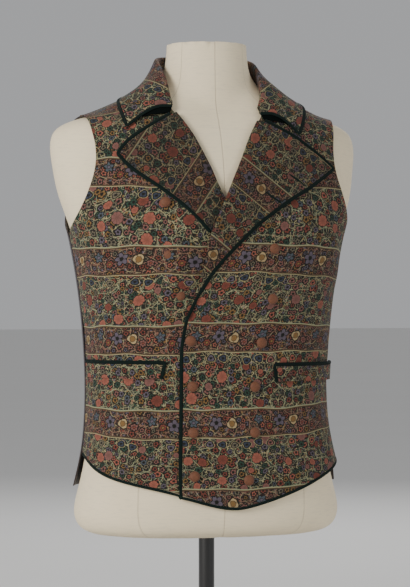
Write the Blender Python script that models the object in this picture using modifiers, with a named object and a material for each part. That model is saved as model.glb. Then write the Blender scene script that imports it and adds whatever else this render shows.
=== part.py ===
"""A double-breasted waistcoat on a limbless dress form with a pole and a round foot.

Run it with: blender --background --python part.py
The sizes below are in millimetres, and MM turns them into Blender's metres. +Z is up and the
front faces -Y, so the wearer's left is +X. The origin is on the floor, under the pole.

The dress form is a stack of closed rings. Up to the armpits they are level, and above them they
climb at the sides, over the shoulders to the neck. A place on the form is an angle round it, from
0 at the centre front to 90 at the wearer's left side, and the height of its ring at the centre
front. Every panel of cloth is a grid laid on the form at its own distance from it.
"""

import math
from bisect import bisect_right
from collections import namedtuple

import bmesh
import bpy
from mathutils import Vector

MM = 0.001

# Cloth
CLOTH = 1.6
TURNED = 1.5
SEAM_GAP = 0.35
LAYER_GAP = 0.4
BRAID_WIDTH = 4.5
HEM_BRAID_WIDTH = 3.4
BRAID_THICK = 1.8
EDGE_INSET = BRAID_WIDTH + SEAM_GAP
HEM_INSET = HEM_BRAID_WIDTH + SEAM_GAP

# How many degrees the back draws away from the side seam at its hem
VENT = 6.0

# How far the cloth stands off the form, on the shoulders and below them
SHOULDER_EASE = 2.3
BODY_EASE = 2.8
EASE_FROM, EASE_TO = 700.0, 742.0
BACK_EASE = 0.8

# Angles and rings of the seams
SIDE_SEAM = 90.0
SHOULDER_SEAM = 96.0
ARMPIT = 630.0
SHOULDER_TIP = 745.0

# Buttons
BUTTON_RADIUS = 7.4
BUTTON_HEIGHT = 5.0

# Stand
POLE_RADIUS = 11.0
POLE_SIDES = 24
FOOT_RADIUS = 150.0
HUB_TOP = 34.0
FORM_BOTTOM = 220.0

# Facets of each grid, across and up
FRONT_GRID = (16, 30)
BACK_GRID = (28, 27)
LAPEL_GRID = (9, 17)
COLLAR_COLUMNS = 30
WELT_GRID = (12, 2)
FORM_SIDES = 40

Ring = namedtuple(
    "Ring", "front_z side_z back_z half_width front_depth back_depth squareness set_back"
)
RINGS = [
    Ring(220, 220, 220, 152, 84, 88, 2.3, 0),
    Ring(223, 223, 223, 167, 96, 100, 2.3, 0),
    Ring(231, 231, 231, 180, 106, 110, 2.3, 0),
    Ring(249, 249, 249, 186.5, 111, 115, 2.3, 0),
    Ring(292, 292, 292, 176, 112, 112, 2.3, 0),
    Ring(340, 340, 340, 167.5, 109, 104, 2.3, 0),
    Ring(410, 410, 410, 164.5, 105, 98, 2.3, 0),
    Ring(470, 470, 470, 166, 106, 100, 2.35, 0),
    Ring(540, 540, 540, 172, 112, 107, 2.4, 0),
    Ring(620, 620, 620, 185, 118, 114, 2.45, 0),
    Ring(645, 650, 650, 194, 118, 116, 2.4, 3),
    Ring(668, 685, 684, 207, 115, 117, 2.2, 9),
    Ring(690, 722, 718, 215, 111, 116, 2.0, 15),
    Ring(708, 752, 748, 219, 107, 114, 1.9, 18),
    Ring(722, 771, 770, 216, 103, 111, 1.85, 19),
    Ring(736, 783, 788, 195, 98, 106, 1.9, 15),
    Ring(750, 791.5, 802, 160, 92, 99, 2.0, 7),
    Ring(764, 803, 815, 134, 85, 91, 2.05, 3),
    Ring(778, 814.5, 827, 106, 76, 81, 2.1, 0),
    Ring(790, 826, 836, 82, 67, 72, 2.1, 0),
    Ring(800, 840, 846, 66, 60, 65, 2.0, 0),
    Ring(815, 855, 860, 58.5, 56, 59, 2.0, 0),
    Ring(850, 873, 875, 56, 54, 56, 2.0, 0),
    Ring(890, 890, 890, 55, 53, 55, 2.0, 0),
]

# Hem of the fronts: angle from the centre front, towards the left, and height
HEM = [
    (-90, 327),
    (-82, 321),
    (-76, 312),
    (-69, 303),
    (-55, 292.5),
    (-38, 283),
    (-27, 276),
    (-11, 265.5),
    (4, 260),
    (12, 260.5),
    (28, 269),
    (46, 282.5),
    (62, 299),
    (75, 311),
    (90, 322),
]
BACK_HEM = 283.0

# Armholes: ring, angle of the front edge, angle of the back edge
ARMHOLE = [
    (630, 90, 90),
    (636, 84, 96),
    (642, 79, 101),
    (654, 72.5, 107),
    (664, 69.5, 111),
    (676, 67.5, 114),
    (690, 66.5, 115),
    (705, 67, 114),
    (720, 69.5, 110),
    (734, 74, 104),
    (741, 80, 100),
    (745, 96, 96),
]

# Neckline, where the collar is sewn on: angle, ring
NECKLINE = [(44, 777), (50, 783), (56, 788), (65, 793), (75, 796), (90, 797), (135, 796), (180, 795)]

# The wearer's left front seen square on, from the neck down: x, z. Down to the lapel's low end
# this is the line that the lapel rolls on, and below that the front edge. The right front is
# its mirror image.
FRONT_EDGE = [
    (68, 804),
    (63, 794),
    (52, 777),
    (40, 757),
    (31, 737),
    (22, 718),
    (12.5, 699),
    (4, 681),
    (-7.4, 656),
    (-20, 628),
    (-25.5, 610),
    (-31, 588),
    (-37, 566),
    (-45, 541),
    (-51.5, 516),
    (-55, 497),
    (-56, 475),
    (-56, 407),
    (-57.5, 340),
    (-59, 265),
]
FRONT_EDGE_BY_Z = [(z, x) for x, z in reversed(FRONT_EDGE)]
EDGE_BRAID_TOP = 512.0

# Outlines of the lapels, with their braid, from the roll line round the tip to the low end:
# x, z. x is away from the centre, so the right one is mirrored.
LEFT_LAPEL = [
    (54, 778.5),
    (70, 776),
    (84.5, 768),
    (102.6, 761),
    (117.4, 751.5),
    (142, 735.5),
    (157, 726.5),
    (161.5, 718.5),
    (157, 711.5),
    (135, 697),
    (117.7, 685.5),
    (93.5, 672.5),
    (62.4, 651.5),
    (40.5, 635.5),
    (14.4, 611),
    (-9, 586),
    (-19, 573.5),
    (-36.2, 543.8),
    (-43.5, 529),
    (-50, 512),
]
RIGHT_LAPEL = [
    (62.8, 792),
    (80, 783),
    (104.7, 769),
    (126.5, 753.5),
    (137.5, 744.5),
    (140.6, 738),
    (138, 729),
    (121, 710.5),
    (107, 700),
    (84.8, 684),
    (60, 664),
    (36.6, 641),
    (23.3, 625.5),
    (10, 607),
    (-4, 588),
    (-14, 574),
]
LEFT_LAPEL_LOW, RIGHT_LAPEL_LOW = 554.0, 582.0
LEFT_GORGE, RIGHT_GORGE = 779.0, 789.0
LAPEL_HEIGHT = 1.5
# How far the left front is lifted by the right lapel under it, and below where that begins
LAPEL_LIFT, LAPEL_LIFT_FROM, LAPEL_LIFT_FULL = 2.8, 520.0, 572.0
# A lapel's fold seen end on, from pressed flat to softly rolled: how far in from the roll line,
# how far off the front
FOLDS = [
    [(0.8, 1.5), (2.0, 1.5), (3.6, 1.5), (6.2, 1.5), (10.0, 1.5)],
    [(-1.9, 1.5), (-0.7, 1.9), (1.0, 2.3), (4.0, 2.6), (8.5, 2.6)],
    [(-1.9, -1.1), (-2.5, 1.3), (-0.8, 3.3), (3.0, 4.1), (8.0, 3.7)],
]

# The collar: angle of its seam, then the fold at x, y, z, then the outer edge's angle and ring
Station = namedtuple("Station", "seam fold_x fold_y fold_z edge_angle edge_ring")
COLLAR = [
    Station(58, 64, -55, 817, 75, 763.5),
    Station(70, 65.5, -38, 840, 84, 770),
    Station(90, 68, -4, 863, 97, 776.5),
    Station(112, 65, 27, 873, 116, 779),
    Station(140, 48, 56, 878, 142, 781),
    Station(180, 0, 74, 880, 180, 781),
]
# Its front ends: angle and ring of the seam, the fold at x, y, z, the corner at x, z, and how far
# the end bows up between them
CollarEnd = namedtuple("CollarEnd", "seam ring fold_x fold_y fold_z corner_x corner_z bow")
LEFT_END = CollarEnd(42.3, 782, 56.8, -73.2, 792.5, 110, 767.5, 6)
RIGHT_END = CollarEnd(47, 785, 63, -67, 801, 123, 774.5, 3)
FOLD_RADIUS = 3.2
COLLAR_REST = BODY_EASE + CLOTH + LAYER_GAP + TURNED / 2 + 0.8
STAND_REST = 2.4
# Where its rows of facets fall among the points of a section: closest at the fold
COLLAR_ROWS = (0, 1, 2, 2.55, 3, 3.5, 4, 5, 6, 7, 8)
COLLAR_FOLD = 3.2

# Welts of the pockets: x of the front end's top and foot, angle of the rear end, and heights
Welt = namedtuple("Welt", "top_x foot_x rear top_z foot_z")
LEFT_WELT = Welt(66, 69.5, 87, 455.5, 430)
RIGHT_WELT = Welt(77.5, 82, 86, 459, 435)

# Buttons of each row: the right one at x, z and the left one at x, z. The left one of the top row
# would lie under the lapel.
ButtonRow = namedtuple("ButtonRow", "right_x right_z left_x left_z")
BUTTONS = [
    ButtonRow(-42.5, 305.5, 30.5, 299.5),
    ButtonRow(-43.5, 363, 40, 362.5),
    ButtonRow(-44, 424.5, 41, 423.5),
    ButtonRow(-47, 485.5, 49.5, 482.5),
    ButtonRow(-62, 545.5, 64, 541),
    ButtonRow(-77, 599, 66, 608),
    ButtonRow(-81, 669, None, None),
]

# Flare of the hem at each side, over this height
LEFT_FLARE, RIGHT_FLARE = 8.0, 1.5
FLARE_HEIGHT = 95.0


def between(low, high, value):
    """0 below low, 1 above high, and a smooth rise from one to the other."""
    t = min(1.0, max(0.0, (value - low) / (high - low)))
    return t * t * (3 - 2 * t)


def read(table, at, column=1):
    """A smooth curve through a column of the table, at a value of its first column."""
    keys = [row[0] for row in table]
    i = min(max(bisect_right(keys, at) - 1, 0), len(keys) - 2)
    a, b = keys[i], keys[i + 1]
    before, after = max(i - 1, 0), min(i + 2, len(keys) - 1)
    p, q = table[i][column], table[i + 1][column]
    slope_p = (q - table[before][column]) / (b - keys[before])
    slope_q = (table[after][column] - p) / (keys[after] - a)
    t = min(1.0, max(0.0, (at - a) / (b - a)))
    step = b - a
    return (
        p * (2 * t**3 - 3 * t**2 + 1)
        + q * (3 * t**2 - 2 * t**3)
        + slope_p * step * (t**3 - 2 * t**2 + t)
        + slope_q * step * (t**3 - t**2)
    )


def along(points, share):
    """The place on a smooth line through the points, at a share of its length."""
    steps = [(Vector(q) - Vector(p)).length for p, q in zip(points, points[1:])]
    run = [0.0]
    for step in steps:
        run.append(run[-1] + step)
    at = share * run[-1]
    size = len(points[0])
    table = [(d, *p) for d, p in zip(run, points)]
    return Vector([read(table, at, k + 1) for k in range(size)])


def on_form(angle, ring):
    """A point on the bare form."""
    row = Ring(*(read(RINGS, ring, k) for k in range(len(Ring._fields))))
    side, front = math.sin(math.radians(angle)), math.cos(math.radians(angle))
    depth, far_z = (
        (row.front_depth, row.front_z) if front > 0 else (row.back_depth, row.back_z)
    )
    n = row.squareness
    reach = (abs(side / row.half_width) ** n + abs(front / depth) ** n) ** (-1 / n)
    z = row.side_z + (far_z - row.side_z) * front * front
    return Vector((reach * side, row.set_back * side * side - reach * front, z))


def outward(angle, ring):
    """The direction straight out of the form there."""
    around = on_form(angle + 0.5, ring) - on_form(angle - 0.5, ring)
    up = on_form(angle, ring + 0.8) - on_form(angle, ring - 0.8)
    return around.cross(up).normalized()


def off_form(angle, ring, out):
    return on_form(angle, ring) + outward(angle, ring) * out


def ease(ring):
    return BODY_EASE + (SHOULDER_EASE - BODY_EASE) * between(EASE_FROM, EASE_TO, ring)


def seen_square_on(x, z, out):
    """The angle and ring where the front, this far off the form, is seen at x and z."""
    angle, ring = math.degrees(math.atan2(x, 110.0)), z
    for _ in range(14):
        here = off_form(angle, ring, out)
        miss = (x - here.x, z - here.z)
        if abs(miss[0]) + abs(miss[1]) < 0.01:
            break
        by_angle = off_form(angle + 0.5, ring, out) - here
        by_ring = off_form(angle, ring + 1.0, out) - here
        det = by_angle.x * by_ring.z - by_ring.x * by_angle.z
        angle += 0.5 * max(-16, min(16, (miss[0] * by_ring.z - by_ring.x * miss[1]) / det))
        ring += max(-30, min(30, (by_angle.x * miss[1] - miss[0] * by_angle.z) / det))
    return angle, ring


def nearest(point):
    """The angle and ring of the form straight under a point near it."""
    low, high = 225.0, 885.0
    angle = math.degrees(math.atan2(point.x, -point.y))
    while high - low > 0.5:
        ring = (low + high) / 2
        low, high = (ring, high) if on_form(angle, ring).z < point.z else (low, ring)
    for _ in range(24):
        here = on_form(angle, ring)
        around = on_form(angle + 0.5, ring) - on_form(angle - 0.5, ring)
        up = on_form(angle, ring + 0.8) - on_form(angle, ring - 0.8)
        off = point - here
        a, b, c = around.dot(around), around.dot(up), up.dot(up)
        p, q = off.dot(around), off.dot(up)
        det = max(a * c - b * b, 1e-6)
        angle += max(-8, min(8, 0.7 * (p * c - q * b) / det))
        ring += max(-10, min(10, 0.7 * 1.6 * (q * a - p * b) / det))
        ring = min(885.0, max(225.0, ring))
    return angle, ring


def height_off(point):
    angle, ring = nearest(point)
    return (point - on_form(angle, ring)).dot(outward(angle, ring))


def off_the_form(point, least):
    """The point, moved straight out until it is at least this far off the form."""
    short = least - height_off(point)
    return point + outward(*nearest(point)) * short if short > 0 else point


def flare(angle, ring):
    """How far the hem swings out at the sides."""
    most = LEFT_FLARE if math.sin(math.radians(angle)) > 0 else RIGHT_FLARE
    sideways = abs(math.sin(math.radians(angle))) ** 4
    return most * sideways * (1 - between(300, 300 + FLARE_HEIGHT, ring))


def right_edge_x(z):
    """Where the right front's own edge lies, under the left front."""
    return -read(FRONT_EDGE_BY_Z, z, 1)


def lift_over(x, z):
    """How far the left front is lifted by the right front and its lapel under it."""
    over = 1 - between(7.0, 36.0, x - right_edge_x(z))
    lapel = between(LAPEL_LIFT_FROM, LAPEL_LIFT_FULL, z)
    return over * (CLOTH + LAYER_GAP + lapel * LAPEL_LIFT)


def front_face(side, angle, ring, x, z):
    """How far off the form the outer face of a front lies. side is 1 for the left front."""
    lifted = lift_over(x, z) if side > 0 else 0.0
    return ease(ring) + flare(angle, ring) + lifted + CLOTH


def edge_in_rings(side):
    """The front edge of a front as a table of ring and angle."""
    table = []
    for x, z in reversed(FRONT_EDGE):
        angle, ring = seen_square_on(side * x, z, BODY_EASE)
        table.append((ring, angle))
    return table


def paced(path):
    """A path of angles and rings as a table of the share of its length, the angle and the ring."""
    rows = [(0.0, *path[0])]
    for here, there in zip(path, path[1:]):
        rows.append((rows[-1][0] + (on_form(*there) - on_form(*here)).length, *there))
    return [(run / rows[-1][0], angle, ring) for run, angle, ring in rows]


def front_grid(side):
    """Points of the inner face of a front, in rows from the hem up to the shoulder seam."""
    columns, rows = FRONT_GRID
    edge = edge_in_rings(side)
    low_rows = round(rows * 0.45)
    hidden = 0.0 if side > 0 else 1.0
    seam = side * (SHOULDER_SEAM - 0.1)
    neck = [side * a for a in (56, 65, 74, 83)] + [seam]
    inner_path = [(read(edge, ARMPIT), ARMPIT)]
    inner_path += [(angle, ring) for ring, angle in edge if ring > ARMPIT + 3]
    inner_path += [(angle, read(NECKLINE, abs(angle))) for angle in neck]
    outer_path = [(side * front, ring) for ring, front, _ in ARMHOLE[:-1]]
    outer_path[0] = (side * (SIDE_SEAM - 0.06), ARMPIT)
    outer_path.append((seam, SHOULDER_TIP))
    inner_table, outer_table = paced(inner_path), paced(outer_path)
    grid = []
    for i in range(rows + 1):
        points = []
        for j in range(columns + 1):
            u = j / columns
            if i <= low_rows:
                share = i / low_rows
                low = read(HEM, edge[0][1]) + HEM_INSET + hidden
                at = low + (ARMPIT - low) * share
                angle_in, angle_out = read(edge, at), side * (SIDE_SEAM - 0.06)
                angle = angle_in + (angle_out - angle_in) * u
                hem = read(HEM, min(max(angle, -90.0), 90.0)) + HEM_INSET + hidden
                ring = hem + (ARMPIT - hem) * share
            else:
                share = (i - low_rows) / (rows - low_rows)
                angle_in, ring_in = (read(inner_table, share, k) for k in (1, 2))
                angle_out, ring_out = (read(outer_table, share, k) for k in (1, 2))
                angle = angle_in + (angle_out - angle_in) * u
                ring = ring_in + (ring_out - ring_in) * u
            inner = off_form(angle, ring, ease(ring) + flare(angle, ring))
            lifted = lift_over(inner.x, inner.z) if side > 0 else 0.0
            points.append(inner + outward(angle, ring) * lifted)
        grid.append(points)
    return grid


def back_grid():
    """Points of the inner face of the back, in rows from the hem up, from left to right."""
    columns, rows = BACK_GRID
    low_rows, arm_rows = round(rows * 0.45), round(rows * 0.37)
    top_rows = rows - low_rows - arm_rows
    grid = []
    for i in range(rows + 1):
        points = []
        for j in range(columns + 1):
            u = j / columns
            if i <= low_rows:
                ring = BACK_HEM + (ARMPIT - BACK_HEM) * i / low_rows
                start = SIDE_SEAM + 0.06 + VENT * (1 - between(BACK_HEM + 15, 326, ring))
            elif i <= low_rows + arm_rows:
                share = (i - low_rows) / arm_rows
                ring = ARMPIT + (SHOULDER_TIP - ARMPIT) * between(0, 1, share)
                start = read(ARMHOLE, ring, 2) if share < 1 else SHOULDER_SEAM + 0.1
            else:
                share = (i - low_rows - arm_rows) / top_rows
                start = SHOULDER_SEAM + 0.1
                angle = start + (360 - 2 * start) * u
                neck = read(NECKLINE, 180 - abs(180 - angle))
                ring = SHOULDER_TIP + (neck - SHOULDER_TIP) * share
            angle = start + (360 - 2 * start) * u
            points.append(off_form(angle, ring, ease(ring) + BACK_EASE + flare(angle, ring)))
        grid.append(points)
    return grid


def inset(outline, distance):
    """The outline, moved inwards by the distance. Its inside is on its right."""
    count = 80
    line = [along(outline, k / count) for k in range(count + 1)]
    moved = []
    for k, point in enumerate(line):
        way = (line[min(k + 1, count)] - line[max(k - 1, 0)]).normalized()
        moved.append(point + Vector((-way.y, way.x)) * -distance)
    return moved


def lapel_outline(side):
    """The edge of a lapel's cloth: the top edge, the outer edge, and where its braid runs on."""
    outline = inset(LEFT_LAPEL if side > 0 else RIGHT_LAPEL, EDGE_INSET)
    low = LEFT_LAPEL_LOW if side > 0 else RIGHT_LAPEL_LOW
    tip = max(range(len(outline)), key=lambda k: outline[k].x - 0.2 * outline[k].y)
    end = next(k for k in range(tip, len(outline)) if outline[k].y < low)
    return outline[: tip + 1], outline[tip : end + 1], outline[end + 1 :]


def on_front(side, x, z, height):
    """A point this far off the face of a front, seen square on at x and z."""
    angle, ring = seen_square_on(x, z, BODY_EASE + CLOTH)
    return off_form(angle, ring, front_face(side, angle, ring, x, z) + height)


def lapel_grid(side):
    """Points of the middle of a lapel's wall, in rows from its top edge down."""
    columns, rows = LAPEL_GRID
    top_edge, outer_edge, _ = lapel_outline(side)
    gorge = LEFT_GORGE if side > 0 else RIGHT_GORGE
    low = (LEFT_LAPEL_LOW if side > 0 else RIGHT_LAPEL_LOW) + 2
    roll = [Vector((read(FRONT_EDGE_BY_Z, z), z)) for z in falling(gorge, low, 60)]
    last = len(FOLDS[0]) - 1
    grid = []
    for i in range(rows + 1):
        v = i / rows
        start, end = along(roll, v), along(outer_edge, v)
        length = (end - start).length
        way = (end - start).normalized()
        rolled = roll_amount(side, start.y, length)
        narrow = min(1.0, length / 30.0)
        profile = [
            (read(sides, 2 * rolled, 1) * narrow, read(sides, 2 * rolled, 2))
            for sides in ([(k, *fold[n]) for k, fold in enumerate(FOLDS)] for n in range(last + 1))
        ]
        points = []
        for j in range(columns + 1):
            if j <= last:
                s, height = profile[j]
            else:
                share = (j - last) / (columns - last)
                first, high = profile[-1]
                s = first + (length - first) * share
                height = high + (LAPEL_HEIGHT - high) * between(0.0, 0.75, share)
                height += tip_lift(side, v, share)
            straight = min(1.0, max(0.0, s / length))
            bow = along(top_edge, straight) - top_edge[0].lerp(top_edge[-1], straight)
            flat = start + way * s + bow * (1 - v) ** 3
            points.append(on_front(side, side * flat.x, flat.y, height))
        grid.append(points)
    return grid


def falling(high, low, count):
    return [high + (low - high) * k / count for k in range(count + 1)]


def roll_amount(side, z, length):
    """1 where the lapel rolls over softly, 0 where it is pressed flat under the left front."""
    soft = between(6.0, 40.0, length)
    return soft if side > 0 else soft * between(694.0, 735.0, z)


def tip_lift(side, v, share):
    """The lapel's tip springs a little off the chest."""
    lift = 2.6 if side > 0 else 1.4
    return lift * share**2 * (1 - between(0.05, 0.5, v))


def collar_sections(side):
    """The collar cut across at each station, from its front end to the back of the neck."""
    stations = [LEFT_END if side > 0 else RIGHT_END, *COLLAR]
    folds = [Vector((side * s.fold_x, s.fold_y, s.fold_z)) for s in stations]
    ways = [b - a for a, b in zip(folds, folds[1:])] + [Vector((1, 0, 0))]
    return [collar_section(side, s, fold, way) for s, fold, way in zip(stations, folds, ways)]


def collar_section(side, station, fold, way):
    """Points across the collar, from the seam up the stand, over the fold and down to the edge."""
    if isinstance(station, CollarEnd):
        seam_ring = station.ring
        corner = side * station.corner_x, station.corner_z
        angle, ring = seen_square_on(*corner, BODY_EASE + CLOTH)
        rise = Vector((0, 0.5, 0.87)) * station.bow
    else:
        seam_ring = read(NECKLINE, station.seam) + 1.6
        angle, ring = side * station.edge_angle, station.edge_ring
        rise = Vector((0, 0, 0))
    seam = off_form(side * station.seam, seam_ring, ease(seam_ring) + CLOTH / 2)
    edge = off_form(angle, ring, COLLAR_REST)
    out = outward(*nearest(fold))
    down = way.cross(out).normalized()
    if down.dot(Vector((side, 0, -1))) < 0:
        down = -down
    radius = 1.8 + (FOLD_RADIUS - 1.8) * between(9.0, 24.0, (fold - seam).length)
    inner = fold + (down - out) * radius
    outer = fold + (out * 0.9 + down * 0.8) * radius
    reach = (outer - edge).length
    steep = outer + (out * 0.35 + down).normalized() * reach * 0.36
    level = edge + (seam - edge).normalized() * reach * 0.30 + Vector((0, 0, 2))
    fall = [bezier(outer, steep, level, edge, t) + rise * t * (1 - t) * 4 for t in (0.25, 0.5, 0.75)]
    return [seam, seam.lerp(inner, 0.5), inner, fold, outer, *fall, edge]


def bezier(a, b, c, d, t):
    u = 1 - t
    return a * u**3 + b * 3 * u * u * t + c * 3 * u * t * t + d * t**3


def collar_grid():
    """Points of the middle of the collar's wall, in rows round the neck from right to left."""
    sections = collar_sections(-1) + collar_sections(1)[-2::-1]
    grid = []
    for i in range(COLLAR_COLUMNS + 1):
        line = []
        for k in range(len(sections[0])):
            line.append(along([tuple(s[k]) for s in sections], i / COLLAR_COLUMNS))
        rests = [COLLAR_REST if at > COLLAR_FOLD else STAND_REST for at in COLLAR_ROWS]
        grid.append([off_the_form(read_line(line, at), rest) for at, rest in zip(COLLAR_ROWS, rests)])
    return grid


def read_line(points, at):
    """A smooth curve through the points, at a number of points along it."""
    table = [(k, *p) for k, p in enumerate(points)]
    return Vector([read(table, at, k + 1) for k in range(3)])


def welt_grid(side):
    """Points of the middle of a welt's wall, from its foot up, from the front end back."""
    columns, rows = WELT_GRID
    welt = LEFT_WELT if side > 0 else RIGHT_WELT
    grid = []
    for i in range(rows + 1):
        v = i / rows
        z = welt.foot_z + (welt.top_z - EDGE_INSET - welt.foot_z) * v
        x = welt.foot_x + (welt.top_x - welt.foot_x) * v + EDGE_INSET
        start, _ = seen_square_on(side * x, z, BODY_EASE + CLOTH)
        points = []
        for j in range(columns + 1):
            angle = start + (side * welt.rear - start) * j / columns
            height = front_face(side, angle, z, side * x, z) + LAYER_GAP + TURNED / 2
            points.append(off_form(angle, z, height + 0.25))
        grid.append(points)
    return grid


def new_material(name, colour, roughness, metallic=0.0):
    material = bpy.data.materials.new(name)
    material.use_nodes = True
    shader = material.node_tree.nodes["Principled BSDF"]
    shader.inputs["Base Color"].default_value = (*colour, 1.0)
    shader.inputs["Roughness"].default_value = roughness
    shader.inputs["Metallic"].default_value = metallic
    return material


def new_object(name, mesh, material, smooth=True):
    obj = bpy.data.objects.new(name, mesh)
    obj.data.materials.clear()
    obj.data.materials.append(material)
    if smooth:
        mesh.shade_smooth()
        mesh.set_sharp_from_angle(angle=math.radians(50))
    PARTS.objects.link(obj)
    return obj


def cloth(name, grid, material, thickness, offset, flip=False):
    """A wall of cloth on a grid of points, as an open surface with Solidify."""
    rows, columns = len(grid) - 1, len(grid[0]) - 1
    bm = bmesh.new()
    bmesh.ops.create_grid(bm, x_segments=columns, y_segments=rows, size=0.5)
    for vert in bm.verts:
        j = round((vert.co.x + 0.5) * columns)
        i = round((vert.co.y + 0.5) * rows)
        vert.co = grid[i][j] * MM
    if flip:
        bmesh.ops.reverse_faces(bm, faces=bm.faces)
    mesh = bpy.data.meshes.new(name)
    bm.to_mesh(mesh)
    bm.free()
    obj = new_object(name, mesh, material)
    wall = obj.modifiers.new("wall", "SOLIDIFY")
    wall.thickness = thickness * MM
    wall.offset = offset
    return obj


def edge_stations(edge, inner):
    """For each point of a cloth's edge, the direction out of the cloth, square to the edge.

    At the two ends it is the direction of the cloth's own rows.
    """
    stations = []
    last = len(edge) - 1
    for k, point in enumerate(edge):
        out = point - inner[k]
        if 0 < k < last:
            way = (edge[k + 1] - edge[k - 1]).normalized()
            out -= way * out.dot(way)
        stations.append((point, out.normalized()))
    return stations


def fan(point, first, second):
    """The stations that carry a braid round a corner."""
    return [(point, first.lerp(second, t).normalized()) for t in (0.33, 0.67)]


def braid(name, stations, material, flip=False, width=BRAID_WIDTH):
    """A flat braid along an edge. It keeps as far off the form as the edge itself."""
    rows = []
    for reach in (SEAM_GAP, SEAM_GAP + width):
        rows.append([off_the_form(p + out * reach, height_off(p)) for p, out in stations])
    return cloth(name, rows, material, BRAID_THICK, 0.0, flip)


def column(grid, j):
    return [row[j] for row in grid]


def middle(grid, thickness):
    """The middle of a wall whose grid is its inner face."""
    rows, columns = len(grid), len(grid[0])
    moved = []
    for i in range(rows):
        line = []
        for j in range(columns):
            up = grid[min(i + 1, rows - 1)][j] - grid[max(i - 1, 0)][j]
            across = grid[i][min(j + 1, columns - 1)] - grid[i][max(j - 1, 0)]
            normal = across.cross(up).normalized()
            if normal.dot(Vector((grid[i][j].x, grid[i][j].y, 0))) < 0:
                normal = -normal
            line.append(grid[i][j] + normal * thickness / 2)
        moved.append(line)
    return moved


def build_front(side, name):
    grid = front_grid(side)
    cloth(f"front_{name}", grid, FLORAL, CLOTH, 1.0, flip=side < 0)
    wall = middle(grid, CLOTH)
    hem = edge_stations(wall[0], wall[1])
    if side < 0:
        hem = [s for s in hem if s[0].x < -50.0]
    braid(f"braid_hem_{name}", hem, GREEN, side > 0, HEM_BRAID_WIDTH)
    if side > 0:
        edge, inner = column(wall, 0), column(wall, 1)
        top = next(i for i, p in enumerate(edge) if p.z > EDGE_BRAID_TOP)
        run = edge_stations(edge[:top], inner[:top])
        corner = (run[0][0], (hem[0][1] + run[0][1]).normalized())
        braid(f"braid_edge_{name}", [corner] + run[1:], GREEN)


def build_lapel(side, name):
    grid = lapel_grid(side)
    cloth(f"lapel_{name}", grid, FLORAL, TURNED, 0.0, flip=side > 0)
    top = edge_stations(grid[0][4:], grid[1][4:])
    outer = edge_stations(column(grid, -1), column(grid, -2))
    if side < 0:
        outer = [s for s in outer if s[0].z > 622.0]
    else:
        _, _, line = lapel_outline(side)
        tail = [on_front(side, p.x, p.y, LAPEL_HEIGHT) for p in line[1::2]]
        inner = [p + Vector((-3.0, 0, -1.0)) for p in tail]
        outer += edge_stations(tail, inner)
    corner = fan(grid[0][-1], top[-1][1], outer[0][1])
    braid(f"braid_lapel_{name}", top + corner + outer, GREEN, flip=side > 0)


def build_collar():
    grid = collar_grid()
    cloth("collar", grid, FLORAL, TURNED, 0.0)
    first = 6
    right = edge_stations(grid[0][first:], grid[1][first:])
    left = edge_stations(grid[-1][first:], grid[-2][first:])
    outer = edge_stations(column(grid, -1), column(grid, -2))
    run = (
        right
        + fan(grid[0][-1], right[-1][1], outer[0][1])
        + outer
        + fan(grid[-1][-1], outer[-1][1], left[-1][1])
        + left[::-1]
    )
    braid("braid_collar", run, GREEN)


def build_welt(side, name):
    grid = welt_grid(side)
    cloth(f"welt_{name}", grid, FLORAL, TURNED, 0.0, flip=side < 0)
    top = edge_stations(grid[-1], grid[-2])
    end = edge_stations(column(grid, 0), column(grid, 1))
    run = end + fan(grid[-1][0], end[-1][1], top[0][1]) + top
    braid(f"braid_welt_{name}", run, GREEN, flip=side > 0)


def button_mesh():
    """A covered button: a low dome with a flat back, turned from its profile."""
    profile = [
        (0, BUTTON_HEIGHT),
        (0.6 * BUTTON_RADIUS, 0.88 * BUTTON_HEIGHT),
        (0.97 * BUTTON_RADIUS, 0.45 * BUTTON_HEIGHT),
        (0.88 * BUTTON_RADIUS, 0),
        (0, 0),
    ]
    bm = bmesh.new()
    verts = [bm.verts.new((r * MM, 0, z * MM)) for r, z in profile]
    edges = [bm.edges.new(pair) for pair in zip(verts, verts[1:])]
    bmesh.ops.spin(
        bm,
        geom=verts + edges,
        axis=(0, 0, 1),
        cent=(0, 0, 0),
        angle=math.tau,
        steps=12,
        use_merge=True,
    )
    bmesh.ops.remove_doubles(bm, verts=bm.verts, dist=0.00001)
    bmesh.ops.recalc_face_normals(bm, faces=bm.faces)
    mesh = bpy.data.meshes.new("button")
    bm.to_mesh(mesh)
    bm.free()
    return mesh


def build_buttons():
    mesh = button_mesh()
    for number, row in enumerate(BUTTONS, 1):
        for word, x, z in (("right", row.right_x, row.right_z), ("left", row.left_x, row.left_z)):
            if x is None:
                continue
            side = 1 if word == "left" or z < EDGE_BRAID_TOP else -1
            button = new_object(f"button_{number}_{word}", mesh.copy(), RUST)
            button.location = on_front(side, x, z, 2 * LAYER_GAP) * MM
            angle, ring = seen_square_on(x, z, BODY_EASE + CLOTH)
            button.rotation_mode = "QUATERNION"
            button.rotation_quaternion = outward(angle, ring).to_track_quat("Z", "Y")


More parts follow.
